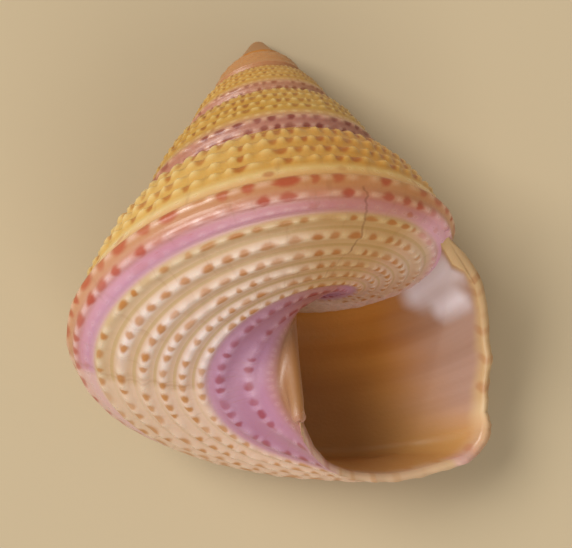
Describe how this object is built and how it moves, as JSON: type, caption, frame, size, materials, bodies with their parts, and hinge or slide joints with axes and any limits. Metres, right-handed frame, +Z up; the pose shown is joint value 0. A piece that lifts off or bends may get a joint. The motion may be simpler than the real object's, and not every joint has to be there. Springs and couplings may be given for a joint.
{
  "type": "purple-ringed top snail shell",
  "caption": "Empty conical top snail shell with beaded spiral cords, a purple ring round the base and an open mouth, lying on its spire side.",
  "frame": {"origin": "middle of the flat spot under the last whorl, on the surface that the shell rests on", "axes": "+Z up, away from the surface; +Y along the spire from the base to the tip; +X towards the outer lip"},
  "size_m": [0.0232, 0.0263, 0.0182],
  "materials": {
    "shell": "satin, spotted golden and rust cords with purple rings, pearly inside the mouth"
  },
  "bodies": {
    "root": {"shell": "shell"}
  },
  "joints": []
}
